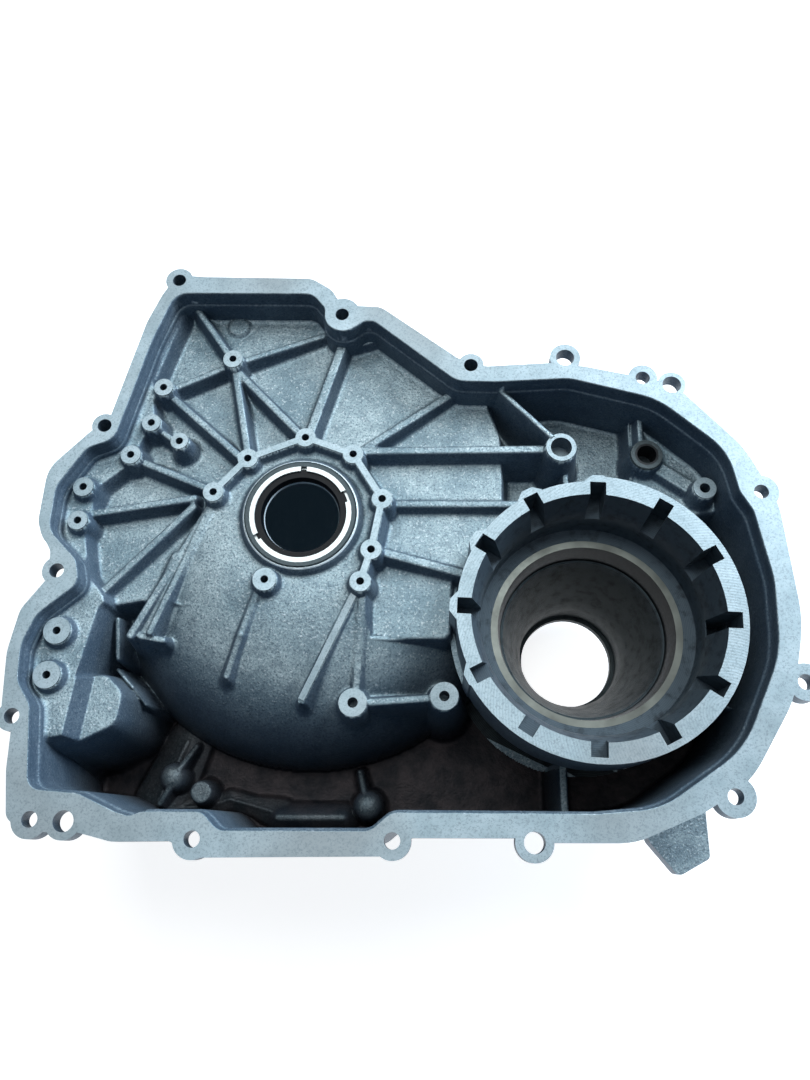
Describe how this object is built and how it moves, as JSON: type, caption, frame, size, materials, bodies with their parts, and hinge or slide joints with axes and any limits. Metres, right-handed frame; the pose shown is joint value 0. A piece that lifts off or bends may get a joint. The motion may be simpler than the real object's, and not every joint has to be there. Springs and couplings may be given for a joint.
{
  "type": "bell housing",
  "caption": "Cast aluminium converter bell housing of a front-drive automatic gearbox, with ribbed wall, deep sump and slotted differential ring.",
  "frame": {"origin": "where the converter axis meets the engine face", "axes": "+Z along the converter axis towards the gearbox, +X along the straight lower edge of the joint flange"},
  "size_m": [0.4855, 0.3985, 0.175],
  "materials": {
    "cast_aluminium": "grainy as cast, with milled faces",
    "bearing_steel": "ground",
    "seal_steel": "bright pressed",
    "seal_rubber": "satin black",
    "spring_steel": "bright",
    "dark_steel": "oiled black"
  },
  "bodies": {
    "root": {"bell_housing": "cast_aluminium", "diff_bearing_cup": "bearing_steel", "converter_seal_case": "seal_steel", "converter_seal_lip": "seal_rubber", "converter_seal_spring": "spring_steel", "shaft_sleeve": "dark_steel"}
  },
  "joints": []
}
